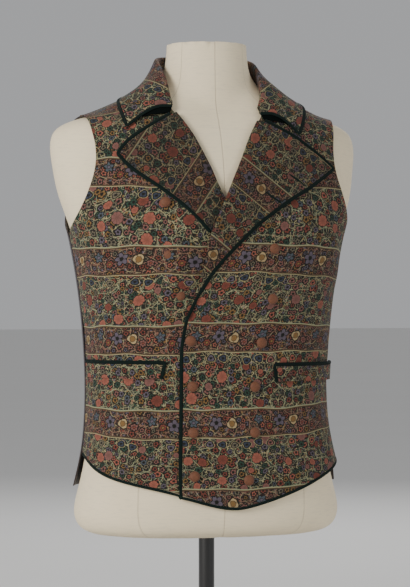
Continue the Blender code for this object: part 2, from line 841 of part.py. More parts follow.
def build_form():
    """The limbless torso: a loft through the rings, closed at the underside and at the neck."""
    around = FORM_SIDES
    levels = [ring.front_z for ring in RINGS]
    extra = [
        (a.front_z + b.front_z) / 2 for a, b in zip(RINGS, RINGS[1:]) if b.side_z - a.side_z > 19
    ]
    levels = sorted(levels + extra)
    bm = bmesh.new()
    loops = []
    for level in levels:
        points = [on_form(360 * k / around, level) * MM for k in range(around)]
        loops.append([bm.verts.new(p) for p in points])
    for low, high in zip(loops, loops[1:]):
        for k in range(around):
            bm.faces.new((low[k], low[k - around + 1], high[k - around + 1], high[k]))
    bm.faces.new(list(reversed(loops[0])))
    bm.faces.new(loops[-1])
    bmesh.ops.recalc_face_normals(bm, faces=bm.faces)
    mesh = bpy.data.meshes.new("dress_form")
    bm.to_mesh(mesh)
    bm.free()
    new_object("dress_form", mesh, CALICO)


def build_stand():
    """A straight pole under the form, and a round foot with a hub."""
    low, high = HUB_TOP + 0.3, FORM_BOTTOM - 0.3
    bpy.ops.mesh.primitive_cylinder_add(
        vertices=POLE_SIDES,
        radius=POLE_RADIUS * MM,
        depth=(high - low) * MM,
        location=(0, 0, (high + low) / 2 * MM),
    )
    pole = bpy.context.object
    pole.name = "stand_pole"
    for collection in pole.users_collection:
        collection.objects.unlink(pole)
    PARTS.objects.link(pole)
    pole.data.materials.append(BLACK_STEEL)
    pole.data.shade_smooth()
    pole.data.set_sharp_from_angle(angle=math.radians(50))

    profile = [
        (0, HUB_TOP),
        (18, HUB_TOP),
        (20, HUB_TOP - 2),
        (20.5, 14),
        (24, 11.5),
        (FOOT_RADIUS - 4, 8),
        (FOOT_RADIUS, 4.5),
        (FOOT_RADIUS, 0),
        (0, 0),
    ]
    mesh = bpy.data.meshes.new("stand_foot")
    mesh.from_pydata(
        [(r * MM, 0, z * MM) for r, z in profile],
        [(k, k + 1) for k in range(len(profile) - 1)],
        [],
    )
    foot = new_object("stand_foot", mesh, BLACK_STEEL)
    turn = foot.modifiers.new("turn", "SCREW")
    turn.steps = turn.render_steps = 40
    turn.use_merge_vertices = True
    turn.merge_threshold = 0.0001


for old in list(bpy.data.objects):
    bpy.data.objects.remove(old)
PARTS = bpy.data.collections.new("Double-breasted waistcoat on a dress form")
bpy.context.scene.collection.children.link(PARTS)

FLORAL = new_material("floral cloth", (0.16, 0.12, 0.09), 0.85)
SATEEN = new_material("back sateen", (0.035, 0.02, 0.025), 0.55)
GREEN = new_material("green braid", (0.01, 0.035, 0.028), 0.7)
RUST = new_material("rust button cloth", (0.28, 0.12, 0.045), 0.75)
CALICO = new_material("calico of the form", (0.68, 0.62, 0.52), 0.9)
BLACK_STEEL = new_material("black enamelled steel", (0.012, 0.012, 0.013), 0.25, 0.3)

build_form()
build_stand()
cloth("back", back_grid(), SATEEN, CLOTH, 1.0)
for side_number, side_name in ((-1, "right"), (1, "left")):
    build_front(side_number, side_name)
    build_lapel(side_number, side_name)
    build_welt(side_number, side_name)
build_collar()
build_buttons()
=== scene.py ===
# %% [markdown]
# # A double-breasted waistcoat on its dress form
#
# This lesson dresses a finished model. The model gives every piece its true shape and size, as
# plain walls of cloth, and the lesson turns each wall into printed cloth, braid, covered buttons,
# calico and enamel. Lengths are written in millimetres and multiplied by MM, because Blender
# counts in metres. The front faces -Y, so the wearer's left is +X.
#
# The model comes in as a fixed frame. Its pieces stay where they are: a piece that needs a finer
# form is copied, worked on, and put in the place of the plain one.

# %% Load the frame
import heapq
import math

import bmesh
import bpy
import numpy as np
from mathutils import Matrix, Vector
from mathutils.bvhtree import BVHTree


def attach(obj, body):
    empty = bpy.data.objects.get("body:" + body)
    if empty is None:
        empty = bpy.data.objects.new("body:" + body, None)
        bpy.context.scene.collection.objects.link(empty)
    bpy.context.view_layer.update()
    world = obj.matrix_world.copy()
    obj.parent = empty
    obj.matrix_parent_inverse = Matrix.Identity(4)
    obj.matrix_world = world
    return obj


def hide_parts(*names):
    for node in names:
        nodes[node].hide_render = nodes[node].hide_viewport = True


MM = 0.001
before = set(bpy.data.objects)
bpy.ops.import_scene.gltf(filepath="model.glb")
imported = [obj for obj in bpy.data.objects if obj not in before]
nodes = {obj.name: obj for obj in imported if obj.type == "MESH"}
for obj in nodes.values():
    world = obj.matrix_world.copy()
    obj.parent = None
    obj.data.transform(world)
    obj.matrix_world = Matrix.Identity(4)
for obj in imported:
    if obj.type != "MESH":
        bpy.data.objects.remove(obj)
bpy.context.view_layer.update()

# %% [markdown]
# ## The camera
#
# The photograph was taken level with the waist, from a little to the form's right. A long lens
# far away could be swapped for a short one near by, but the roundness of the chest tells them
# apart: here the camera is 3 m off. The lens then follows from how many millimetres a pixel of
# the photograph covers at the form's middle.

# %% Camera
PHOTO_WIDTH, PHOTO_HEIGHT = 410, 587
PIXEL = 1.38 * MM
AXIS_COLUMN = 206.5
DISTANCE = 3.0
AZIMUTH = math.radians(-13)
AIM = Vector((0, 0, 548 * MM))
SENSOR = 36


def placed(name, data):
    """A new object in the scene."""
    obj = bpy.data.objects.new(name, data)
    bpy.context.scene.collection.objects.link(obj)
    return obj


def look_at(obj, place, aim):
    """Puts a camera or a light at a place and turns it to a point."""
    obj.location = place
    obj.rotation_mode = "QUATERNION"
    obj.rotation_quaternion = (aim - place).to_track_quat("-Z", "Y")


camera = placed("camera", bpy.data.cameras.new("camera"))
look_at(camera, AIM + Vector((math.sin(AZIMUTH), -math.cos(AZIMUTH), 0)) * DISTANCE, AIM)
camera.data.sensor_width = SENSOR
camera.data.lens = SENSOR * DISTANCE / (PHOTO_HEIGHT * PIXEL)
camera.data.shift_x = (PHOTO_WIDTH / 2 - AXIS_COLUMN) / PHOTO_HEIGHT
bpy.context.scene.camera = camera
print(f"The lens is {camera.data.lens:.0f} mm")

# %% [markdown]
# ## The studio
#
# Cloth shows its folds when one broad light comes from the side. A small bright lamp would give
# hard shadows, so each light here is a panel a metre or more across: a strong one at the left, a
# weak one at the right that opens the shadows, and one behind that lifts the shoulders off the
# background. The floor is one pale plane.

# %% Lights and floor
SKY_COLOUR = (0.80, 0.81, 0.83, 1)
SKY_STRENGTH = 0.5
FLOOR_HALF = 30


def soft_light(name, place, aim, size, watts, colour=(1.0, 1.0, 1.0)):
    """A square panel light that looks at a point."""
    light = placed(name, bpy.data.lights.new(name, "AREA"))
    light.data.size = size
    light.data.energy = watts
    light.data.color = colour
    look_at(light, Vector(place), Vector(aim))


def mesh_from(bm, name):
    """The mesh of a shape that is ready."""
    mesh = bpy.data.meshes.new(name)
    bm.to_mesh(mesh)
    bm.free()
    return mesh


soft_light("key", place=(-2.3, -1.5, 1.35), aim=(0, 0, 0.55), size=1.1, watts=64, colour=(1.0, 0.98, 0.95))
soft_light("fill", place=(2.4, -2.4, 0.9), aim=(0, 0, 0.5), size=1.6, watts=23, colour=(0.96, 0.98, 1.0))
soft_light("rim", place=(0.9, 2.3, 1.9), aim=(0, 0, 0.6), size=1.4, watts=26)

world = bpy.data.worlds.new("studio")
bpy.context.scene.world = world
world.use_nodes = True
sky = world.node_tree.nodes["Background"].inputs
sky["Color"].default_value = SKY_COLOUR
sky["Strength"].default_value = SKY_STRENGTH

plane = bmesh.new()
bmesh.ops.create_grid(plane, x_segments=1, y_segments=1, size=FLOOR_HALF)
floor = placed("floor", mesh_from(plane, "floor"))
print("The floor is", 2 * FLOOR_HALF, "m wide, under three lights")

# %% [markdown]
# ## A short way to write materials
#
# A printed cloth needs a few hundred shader nodes, and nobody wants to read them one by one. A
# small class keeps one material and adds a node for each step of a sum, so that a finish reads
# like arithmetic. Colours are written as a dyer would match them, in the 0 to 255 of a screen,
# and are turned to the linear values that light needs.


# %% The finish helper
def dye(*screen):
    """A screen colour, red, green and blue up to 255, as a linear one."""
    parts = [c / 255 for c in screen]
    return (*(((c + 0.055) / 1.055) ** 2.4 if c > 0.04 else c / 12.92 for c in parts), 1.0)


class Finish:
    """One material, with a short way to add each kind of node."""

    def __init__(self, name, roughness, sockets=()):
        self.material = bpy.data.materials.new(name)
        self.material.use_nodes = True
        self.tree = self.material.node_tree
        self.shader = self.tree.nodes["Principled BSDF"]
        self.shader.inputs["Roughness"].default_value = roughness
        for socket, value in dict(sockets).items():
            self.shader.inputs[socket].default_value = value

    def put(self, socket, value):
        """Links a value that is worked out by nodes, and sets any other."""
        if isinstance(value, bpy.types.NodeSocket):
            self.tree.links.new(value, socket)
        else:
            socket.default_value = value

    def add(self, kind, inputs=(), **settings):
        made = self.tree.nodes.new("ShaderNode" + kind)
        for name, value in settings.items():
            setattr(made, name, value)
        for name, value in dict(inputs).items():
            self.put(made.inputs[name], value)
        return made

    def sum(self, operation, *values, clamp=False):
        """A sum on numbers."""
        inputs = dict(enumerate(values))
        return self.add("Math", inputs, operation=operation, use_clamp=clamp).outputs[0]

    def plus(self, a, b):
        return self.sum("ADD", a, b)

    def minus(self, a, b):
        return self.sum("SUBTRACT", a, b)

    def times(self, a, b):
        return self.sum("MULTIPLY", a, b)

    def away(self, a, b=0.0):
        """How far one number is from another."""
        return self.sum("ABSOLUTE", self.minus(a, b) if b else a)

    def move(self, operation, *values):
        """A sum on places or colours."""
        inputs = dict(enumerate(values))
        return self.add("VectorMath", inputs, operation=operation).outputs[0]

    def scale(self, vector, factor):
        return self.add("VectorMath", {0: vector, "Scale": factor}, operation="SCALE").outputs[0]

    def reach(self, vector):
        return self.add("VectorMath", {0: vector}, operation="LENGTH").outputs["Value"]

    def split(self, vector):
        return self.add("SeparateXYZ", {0: vector}).outputs

    def place(self):
        """The place on the object, in millimetres."""
        return self.scale(self.add("TexCoord").outputs["Object"], 1 / MM)

    def attribute(self, name):
        return self.add("Attribute", attribute_name=name).outputs["Fac"]

    def mix(self, share, under, over):
        """The colour over on the colour under, as far as share says."""
        return self.add("Mix", {0: share, 6: under, 7: over}, data_type="RGBA").outputs[2]

    def palette(self, value, colours):
        """One of the colours, picked by a random value from 0 to 1."""
        made = self.add("ValToRGB", {0: value})
        ramp = made.color_ramp
        ramp.interpolation = "CONSTANT"
        stops = [(k / len(colours), colour) for k, colour in enumerate(colours)]
        ramp.elements[0].position, ramp.elements[0].color = stops[0]
        ramp.elements[1].position, ramp.elements[1].color = stops[-1]
        for place, colour in stops[1:-1]:
            ramp.elements.new(place).color = colour
        return made.outputs[0]

    def noise(self, place, size, detail=2.0):
        """Soft noise from 0 to 1, with lumps of about this size."""
        inputs = {"Vector": place, "Scale": 1 / size, "Detail": detail, "Roughness": 0.5}
        return self.add("TexNoise", inputs).outputs[0]

    def step(self, value, edge, soft):
        """0 below the edge and 1 above it, with a soft change between."""
        return self.sum("MULTIPLY_ADD", self.minus(value, edge), 1 / soft, 0.5, clamp=True)

    def below(self, value, edge, soft):
        """1 below the edge and 0 above it."""
        return self.minus(1.0, self.step(value, edge, soft))

    def bump(self, height, distance, strength=1.0):
        inputs = {"Height": height, "Distance": distance, "Strength": strength}
        return self.add("Bump", inputs).outputs[0]

    def done(self, colour, normal=None):
        self.put(self.shader.inputs["Base Color"], colour)
        if normal is not None:
            self.put(self.shader.inputs["Normal"], normal)
        return self.material


pale = Finish("pale floor", 0.85)
mottled = pale.noise(pale.add("TexCoord").outputs["Object"], 0.6)
floor.data.materials.append(pale.done(pale.mix(mottled, dye(226, 225, 222), dye(231, 230, 228))))
print("The floor's finish takes", len(pale.tree.nodes), "nodes")

# %% [markdown]
# ## The print: where its bands lie
#
# The cloth is printed in bands, a wide one on dark green and a narrow one on maroon, which repeat
# about every 112 mm and run level round the body. Painted by height alone, they would be level on
# the lapels too, and there they really run aslant. So the print is laid out in the cloth's own two
# directions: across, along a band, and up, through the bands. Each piece gets them as a UV map
# named "cut", in metres.

# %% Bands
REPEAT, WIDE = 112.0, 73.0
# Where a wide band starts and ends in the cloth, from the lowest on, and how high each of these
# edges lies on the left front and on the right one
BAND_EDGES = [row * REPEAT + part for row in range(-1, 6) for part in (0, WIDE)][:-1]
LEFT_EDGES = [176, 249, 288, 356, 394, 470, 509, 576, 615, 694, 732.5, 810, 850]
RIGHT_EDGES = [176, 246, 285, 352, 391, 466, 505.5, 573, 611, 690, 729, 806, 846]
# How far the print has drifted sideways at each height, so that its rosettes fall as they do
LEFT_DRIFT = [(372, 9), (486, 11), (594, 44), (700, 60)]
RIGHT_DRIFT = [(268, 40), (378, 43), (489, 56), (599, 74)]
# How far a band has risen by the time it reaches the side seam, at each height: the fronts are
# cut curved to fit the waist, so their bands aren't quite level there
LEFT_RISE = [
    (285, 6), (350, 9), (394, 6), (470, 0), (510, -6), (576, -9), (615, -8), (700, -3), (760, 0),
]
RIGHT_RISE = [(285, 4), (350, 6), (394, 3), (470, 0), (510, -2), (615, -2), (700, 0)]
SIDE_SEAM, FARTHEST = 180, 1.2
# Small waves of the woven lines: their height, and their size across and up
RIPPLES = [(0.8, 19, 31), (0.6, 9, -17)]
# Over the shoulder the cloth runs back: how much for each millimetre, and from how far in front
RUNS_BACK = [(0.45, 70), (0.5, 30)]
SHOULDER_LOW, SHOULDER_HIGH = 690, 750

CHEST_HALF, CHEST_DEPTH = 180.0, 116.0
CHEST_TOP, NECK_BASE = 640, 740
WIDTH_TO_CLOTH = 1.08
turns = np.radians(np.arange(0, 181, 1.5))
round_chest = np.stack([CHEST_HALF * np.sin(turns), CHEST_DEPTH * np.cos(turns)], 1)
bearing = np.arctan2(*round_chest.T)
girth = np.concatenate([[0], np.cumsum(np.linalg.norm(np.diff(round_chest, axis=0), axis=1))])


def smooth_between(low, high, value):
    t = np.clip((value - low) / (high - low), 0, 1)
    return t * t * (3 - 2 * t)


def around_body(points):
    """How far round from the centre front each point is, in millimetres of cloth."""
    x, y, z = points.T / MM
    by_angle = np.sign(x) * np.interp(np.abs(np.arctan2(x, -y)), bearing, girth)
    by_width = x * WIDTH_TO_CLOTH
    return by_angle + (by_width - by_angle) * smooth_between(CHEST_TOP, NECK_BASE, z)


def front_cut(points, edges, drift, rise):
    """Across and up the cloth of a front, in millimetres."""
    _, y, z = points.T / MM
    around = around_body(points)
    at_side = np.minimum(np.abs(around) / SIDE_SEAM, FARTHEST) ** 2
    risen = np.interp(z, *np.array(rise).T) * at_side
    wavy = sum(high * np.sin(around / wide + z / tall) for high, wide, tall in RIPPLES)
    back = sum(share * np.clip(y + start, 0, None) for share, start in RUNS_BACK)
    over_shoulder = back * smooth_between(SHOULDER_LOW, SHOULDER_HIGH, z)
    up = np.interp(z - risen - wavy, edges, BAND_EDGES) + over_shoulder
    return around - np.interp(z, *np.array(drift).T), up


def aslant_cut(points, degrees, across_zero, up_zero):
    """The same for a lapel, whose bands climb at this angle as the front is looked at."""
    x, _, z = points.T / MM
    c, s = math.cos(math.radians(degrees)), math.sin(math.radians(degrees))
    return x * c + z * s - across_zero, z * c - x * s - up_zero


print(f"The chest is {2 * girth[-1]:.0f} mm round where the print is laid out")

# %% [markdown]
# ## The print: its dyes
#
# The print is old and its colours have sunk together: even the cream of the rosettes is a tan.

# %% The colours of the print
CREAM = dye(176, 152, 110)
PALE_GREEN = dye(143, 151, 119)
OLD_GOLD = dye(166, 154, 114)
CORAL = dye(156, 90, 73)
DEEP_CORAL = dye(122, 62, 50)
ROSE = dye(130, 86, 78)
OCHRE = dye(128, 96, 54)
MAUVE = dye(96, 86, 98)
SLATE = dye(76, 84, 92)
BLUE = dye(50, 58, 74)
LEAF = dye(38, 69, 54)
STONE = dye(108, 100, 82)
BROWN_LINE = dye(74, 58, 40)
INK = dye(8, 9, 8)
print("The cream of the rosettes is", [round(c, 2) for c in CREAM[:3]], "in linear light")

# %% [markdown]
# ## The print: flowers on a ground
#
# Such a print is hundreds of small flowers, each outlined, on a ground that is veined all over.
# An image could hold it, but a pattern worked out by the shader stays sharp at any distance. A
# Voronoi texture scatters points evenly and tells each place which point is its nearest and a
# random colour for it. The way from that point gives an angle and a reach, and a flower is where
# the reach is less than a radius that rises and falls with the angle, once for each petal.

# %% Flowers
SPREAD = 0.8
# In radians, about a full turn
FULL_TURN = 6.3


def shifted(s, place, seed, step=(37.7, 81.3)):
    """The place moved far off, so that each seed gives another part of the same texture."""
    return s.move("ADD", place, (seed * step[0], seed * step[1], 0))


def scattered(s, place, cell, seed, spread=SPREAD):
    """The way from the nearest scattered point, and three random values that go with it."""
    place = shifted(s, place, seed)
    inputs = {"Vector": place, "Scale": 1 / cell, "Randomness": spread}
    cells = s.add("TexVoronoi", inputs, voronoi_dimensions="2D")
    return s.move("SUBTRACT", place, cells.outputs["Position"]), s.split(cells.outputs["Color"])


def flower(
    s, under, way, band, chance, petal_colour, heart, radius, petals, wave,
    core=0.32, ring=0.0, parted=0.5, gap=1.6,
):
    """A flower over what lies under: a pale ring, a dark gap, petals, a dark ring and a heart.

    way is the way from its middle, and chance turns it. wave and core are the depth of its petals
    and the size of its heart in radii, ring and gap widths, and parted the dark between petals.
    """
    x, y, _ = s.split(way)
    reach = s.reach(way)
    turn = s.sum("MULTIPLY_ADD", s.sum("ARCTAN2", y, x), petals, s.times(chance, FULL_TURN))
    lobes = s.sum("SINE", turn)
    edge = s.times(radius, s.sum("MULTIPLY_ADD", lobes, wave, 1.0))
    inside = s.minus(edge, reach)
    between = s.sum("MULTIPLY_ADD", s.step(lobes, -0.72, 0.5), parted, 1 - parted)
    towards_rim = s.sum("MULTIPLY_ADD", s.sum("DIVIDE", reach, edge), 0.4, 0.66)
    petal = s.mix(s.times(between, towards_rim), INK, petal_colour)
    middle = s.minus(s.times(radius, core), reach)
    layers = [
        (inside, -gap, 0.5, INK),
        (inside, -0.1, 0.5, petal),
        (middle, -0.6, 0.4, INK),
        (middle, 0.0, 0.4, heart),
    ]
    if ring:
        layers.insert(0, (inside, -gap - 0.1 - ring, 0.4, OLD_GOLD))
    for depth, start, soft, colour in layers:
        under = s.mix(s.times(band, s.step(depth, start, soft)), under, colour)
    return under


def strewn(s, under, place, band, colours, heart, cell, seed, sizes, share, **shape):
    """Flowers scattered over a band. sizes are the smallest radius and the largest."""
    way, chance = scattered(s, place, cell, seed)
    radius = s.sum("MULTIPLY_ADD", chance[1], sizes[1] - sizes[0], sizes[0])
    shown = s.times(band, s.sum("LESS_THAN", chance[2], share))
    petal_colour = s.palette(s.sum("FRACT", s.times(chance[0], 7.31)), colours)
    return flower(s, under, way, shown, chance[0], petal_colour, heart, radius, **shape)


print("Flowers stand off an even grid by up to", SPREAD, "of a cell")

# %% [markdown]
# ## The print: veins, squiggles, dots and rows
#
# Between the flowers the ground is never empty. The borders between scattered points make a web
# of veins, the contours of a soft noise wind, and the points themselves make dots. Only the
# rosettes and the framed motifs stand in rows, which a count along the band gives.

# %% Veins, squiggles, dots and rows
ROW_PLAY = 2.5


def veined(s, under, place, band, where, kept, low, high, cell, seed, width):
    """Fine lines along the borders between scattered points, wherever a noise is above kept.

    The same noise takes their colour from low to high.
    """
    inputs = {"Vector": shifted(s, place, seed), "Scale": 1 / cell, "Randomness": SPREAD}
    web = s.add("TexVoronoi", inputs, voronoi_dimensions="2D", feature="DISTANCE_TO_EDGE")
    line = s.below(web.outputs["Distance"], width / cell / 2, 0.25 / cell)
    drawn = s.times(band, s.times(line, s.step(where, kept, 0.04)))
    return s.mix(drawn, under, s.mix(s.step(where, 0.56, 0.1), low, high))


def squiggled(s, under, place, band, where, colour, seed, lump=5.0, count=3.0, width=0.1, kept=0.5):
    """Winding lines like the contours of a map, wherever a noise is below kept."""
    hills = s.noise(shifted(s, place, seed, (41.3, 67.9)), lump, 0.0)
    line = s.below(s.away(s.sum("FRACT", s.times(hills, count)), 0.5), width, 0.1)
    return s.mix(s.times(band, s.times(line, s.below(where, kept, 0.04))), under, colour)


def speckled(s, under, place, band, colours, cell, seed, radius, share):
    """Small round dots scattered over a band."""
    way, chance = scattered(s, place, cell, seed, spread=0.9)
    dot = s.step(s.minus(radius, s.reach(way)), 0.0, 0.5)
    shown = s.times(s.times(band, dot), s.sum("LESS_THAN", chance[2], share))
    return s.mix(shown, under, s.palette(s.sum("FRACT", s.times(chance[0], 5.17)), colours))


def in_row(s, across, up, pitch, start, height, seed):
    """The way from the nearest of a row of points, and random values for each of them."""
    along = s.sum("DIVIDE", s.minus(across, start), pitch)
    number = s.sum("FLOOR", s.plus(along, 0.5))
    dice = s.add("TexWhiteNoise", {"W": s.plus(number, seed)}, noise_dimensions="1D")
    rise = s.sum("MULTIPLY_ADD", dice.outputs["Value"], 2 * ROW_PLAY, -ROW_PLAY)
    inputs = {0: s.times(s.minus(along, number), pitch), 1: s.minus(up, s.plus(height, rise))}
    return s.add("CombineXYZ", inputs).outputs[0], s.split(dice.outputs["Color"])


def wandered(s, place, lump, reach):
    """The place, moved about by soft noise, so that drawn shapes aren't too regular."""
    wander = s.add("TexNoise", {"Vector": place, "Scale": 1 / lump, "Detail": 1.0}).outputs["Color"]
    return s.move("ADD", place, s.scale(s.move("SUBTRACT", wander, (0.5, 0.5, 0.5)), reach))


print("A row's flowers stand up to", ROW_PLAY, "mm above or below its line")

# %% [markdown]
# ## The print: the layers
#
# The print is built up as a block printer would, ground first and the boldest flowers last. The
# wide band has winding lines and a web of cream and green veins, dots in its meshes, small
# blossoms, larger coral flowers, and a row of framed motifs under its upper edge. The narrow band
# has a red web, pink and coral blossoms, and a row of cream rosettes with mauve clusters between
# them. Each call adds one layer, and share is how many of the scattered points it uses.

# %% The two bands
PINKS = [dye(134, 100, 82), dye(144, 108, 88), dye(148, 110, 90)]
DIM_DOTS = [dye(58, 40, 34), dye(28, 54, 42), dye(62, 54, 40), dye(40, 38, 50)]
BRIGHT_DOTS = [ROSE, LEAF, STONE, MAUVE, OCHRE, LEAF, DEEP_CORAL, CORAL]
BLOSSOMS = [CORAL, MAUVE, DEEP_CORAL, ROSE, LEAF, ROSE, OCHRE, STONE, DEEP_CORAL]
DUSKY = [MAUVE, SLATE, STONE, ROSE, LEAF, MAUVE, OCHRE]
LARGE = [CORAL, DEEP_CORAL, CORAL, ROSE]
FRAMED = [CORAL, BLUE, STONE, ROSE, BLUE, MAUVE, CORAL]
RED_DOTS = [ROSE, dye(120, 72, 60), STONE, MAUVE, OCHRE, DEEP_CORAL, SLATE, STONE]
RED_BLOSSOMS = [DEEP_CORAL, ROSE, MAUVE, ROSE, STONE, OCHRE, CORAL]
ROSETTES = 91.0
NARROW_MIDDLE = (WIDE + REPEAT) / 2


def wide_band(s, flat, place, drawn, wide, across, level):
    patches = s.noise(s.move("ADD", flat, (5.0, 71.0, 0)), 8.0, 1.0)
    out = s.mix(patches, dye(11, 13, 11), dye(28, 28, 22))
    out = speckled(s, out, place, wide, DIM_DOTS, cell=3.8, seed=31, radius=1.2, share=0.7)
    out = squiggled(s, out, place, wide, patches, OLD_GOLD, seed=1)
    out = veined(s, out, place, wide, patches, 0.47, PALE_GREEN, STONE, cell=4.9, seed=3, width=0.42)
    out = speckled(s, out, place, wide, BRIGHT_DOTS, cell=4.9, seed=3, radius=1.25, share=0.62)
    out = veined(s, out, drawn, wide, patches, 0.36, OLD_GOLD, PALE_GREEN, cell=11.0, seed=6, width=0.55)
    out = veined(s, out, drawn, wide, patches, 0.4, PALE_GREEN, OLD_GOLD, cell=26.0, seed=4, width=0.7)
    small = dict(cell=11.0, seed=6, sizes=(2.0, 4.0), share=0.74, petals=5, wave=0.14)
    muted = dict(cell=15.0, seed=9, sizes=(2.0, 3.8), share=0.6, petals=6, wave=0.12, gap=1.0)
    bold = dict(cell=27.0, seed=7, sizes=(3.4, 7.2), share=0.7, petals=9, wave=0.05, gap=0.8)
    out = strewn(s, out, drawn, wide, BLOSSOMS, INK, **small)
    out = strewn(s, out, drawn, wide, DUSKY, INK, **muted)
    out = strewn(s, out, drawn, wide, LARGE, DEEP_CORAL, core=-0.2, parted=0.3, **bold)
    way, luck = in_row(s, across, level, pitch=17.0, start=3.0, height=64.0, seed=11.0)
    way = wandered(s, s.move("MULTIPLY", way, (1.0, 1.2, 1.0)), lump=3.0, reach=2.0)
    motif = s.palette(luck[1], FRAMED)
    shown = s.times(wide, s.sum("LESS_THAN", luck[2], 0.7))
    return flower(s, out, way, shown, luck[0], motif, INK, radius=4.2, petals=3, wave=0.14, ring=0.5)


def narrow_band(s, flat, place, drawn, across, level):
    patches = s.noise(s.move("ADD", flat, (63.0, 17.0, 0)), 7.0, 1.0)
    out = s.mix(patches, dye(24, 15, 13), dye(46, 28, 24))
    out = squiggled(s, out, place, 1.0, patches, PINKS[0], seed=20)
    out = veined(s, out, place, 1.0, patches, 0.46, PINKS[1], STONE, cell=4.9, seed=21, width=0.45)
    out = speckled(s, out, place, 1.0, RED_DOTS, cell=4.9, seed=21, radius=1.35, share=0.72)
    out = veined(s, out, drawn, 1.0, patches, 0.4, PINKS[2], OLD_GOLD, cell=10.5, seed=23, width=0.6)
    small = dict(cell=10.5, seed=23, sizes=(1.9, 3.3), share=0.8, petals=5, wave=0.18)
    out = strewn(s, out, drawn, 1.0, RED_BLOSSOMS, INK, **small)
    # Each row's start, height over the middle, radius, petals, wave, two colours and core
    for start, over, radius, petals, wave, colour, heart, core in (
        (-22.0, 1, 7.0, 5, 0.24, MAUVE, INK, 0.3),
        (15.0, -5, 4.0, 6, 0.15, ROSE, DEEP_CORAL, 0.4),
        (38.0, 4, 5.0, 5, 0.24, SLATE, MAUVE, 0.36),
        (54.0, -5, 4.2, 7, 0.12, DEEP_CORAL, OCHRE, 0.4),
        (0.0, 0, 6.4, 3, 0.12, CREAM, OCHRE, 0.56),
    ):
        way, luck = in_row(s, across, level, ROSETTES, start, NARROW_MIDDLE + over, seed=5.0)
        way = wandered(s, way, lump=3.0, reach=2.6)
        out = flower(s, out, way, 1.0, luck[0], colour, heart, radius, petals, wave, core)
    return out


print("Rosettes are", ROSETTES, "mm apart")

# %% [markdown]
# ## The print: lines, painted shade, wear and weave
#
# A pale line and a brown one part the bands. The attribute "kept" says how far a piece's print is
# darkened as painted shade: the lapels are darkened, the right one most, and the fronts not at all.
# Worn threads show as specks. Last comes the weave, far finer than the print, as bump.

# %% Printed cloth
# The middle of each line between the bands, its width and its colour
LINES = [
    (WIDE + 1.6, 1.6, BROWN_LINE),
    (WIDE + 0.1, 1.1, OLD_GOLD),
    (REPEAT - 1.6, 1.7, BROWN_LINE),
    (REPEAT - 0.2, 1.1, OLD_GOLD),
    (0.4, 0.9, PALE_GREEN),
]
# How dark the painted shade makes the print at its fullest, in red, green and blue
LAPEL_SHADE = (0.42, 0.36, 0.35)
THREAD = 0.5


def printed_cloth():
    sockets = {"Sheen Weight": 0.08, "Sheen Roughness": 0.5, "Specular IOR Level": 0.25}
    s = Finish("printed cloth", 0.85, sockets)
    flat = s.scale(s.add("UVMap", uv_map="cut").outputs[0], 1 / MM)
    place = wandered(s, flat, lump=4.0, reach=3.4)
    drawn = wandered(s, flat, lump=7.0, reach=3.0)
    across, up, _ = s.split(flat)
    row = s.sum("FLOOR", s.sum("DIVIDE", up, REPEAT))
    level = s.minus(up, s.times(row, REPEAT))
    narrow = s.step(level, WIDE, 0.4)
    out = wide_band(s, flat, place, drawn, s.minus(1.0, narrow), across, level)
    out = s.mix(narrow, out, narrow_band(s, flat, place, drawn, across, level))
    for middle, width, colour in LINES:
        out = s.mix(s.below(s.away(level, middle), width / 2, 0.4), out, colour)
    # Painted shade: the print is darkened as far as "kept" says
    out = s.mix(s.attribute("kept"), out, s.move("MULTIPLY", out, LAPEL_SHADE))

    warp, weft = (s.sum("SINE", s.times(way, math.tau / THREAD)) for way in (across, up))
    weave = s.sum("MAXIMUM", warp, weft)
    worn = s.noise(flat, 1.1, 3.0)
    out = s.mix(s.times(s.step(worn, 0.52, 0.3), 0.3), out, INK)
    out = s.mix(s.times(worn, 0.09), out, STONE)
    return s.done(out, s.bump(s.plus(weave, s.times(worn, 1.4)), 0.06 * MM, 0.7))


PRINTED = printed_cloth()
print("The print takes", len(PRINTED.node_tree.nodes), "nodes")

# %% [markdown]
# ## The other cloths
#
# The back is a dark sateen, whose long floats give a soft gleam, with a groove for its centre seam.
# The binding is a ribbed braid, and its ribs follow the length of each strip, which an attribute
# named "run" holds. The sheet in the notches is a near-black velvet that gives back hardly any
# light: it is painted shadow.


# %% Sateen, lining, braid, painted shadow velvet and button cloth
def sateen():
    s = Finish("back sateen", 0.44, {"Sheen Weight": 0.18, "Sheen Roughness": 0.35})
    place = s.place()
    floats = s.noise(s.move("MULTIPLY", place, (1.0, 1.0, 0.12)), 0.35)
    slubs = s.noise(s.move("MULTIPLY", place, (0.06, 0.06, 1.0)), 0.8)
    tone = s.mix(s.noise(place, 40.0, 3.0), dye(33, 21, 26), dye(46, 30, 37))
    tone = s.mix(s.times(slubs, 0.25), tone, dye(22, 14, 18))
    seam = s.below(s.away(s.split(place)[0]), 0.4, 0.7)
    tone = s.mix(s.times(seam, 0.6), tone, dye(11, 8, 10))
    height = s.minus(s.times(s.plus(floats, slubs), 0.2), seam)
    return s.done(tone, s.bump(height, 0.5 * MM, 0.7))


def lining():
    s = Finish("dark lining", 0.6, {"Sheen Weight": 0.2})
    place = s.place()
    tone = s.mix(s.noise(place, 20.0, 3.0), dye(34, 26, 24), dye(48, 38, 34))
    return s.done(tone, s.bump(s.noise(place, 0.5), 0.1 * MM))


def ribbed_braid():
    sockets = {"Sheen Weight": 0.03, "Sheen Roughness": 0.4, "Specular IOR Level": 0.16}
    s = Finish("ribbed braid", 0.75, sockets)
    rib = s.sum("SINE", s.times(s.attribute("run"), math.tau / (0.9 * MM)))
    fray = s.noise(s.place(), 0.6)
    tone = s.mix(s.sum("MULTIPLY_ADD", rib, 0.3, 0.4), dye(5, 15, 13), dye(14, 38, 32))
    tone = s.mix(s.times(fray, 0.3), tone, dye(11, 25, 21))
    return s.done(tone, s.bump(s.plus(rib, fray), 0.16 * MM, 0.8))
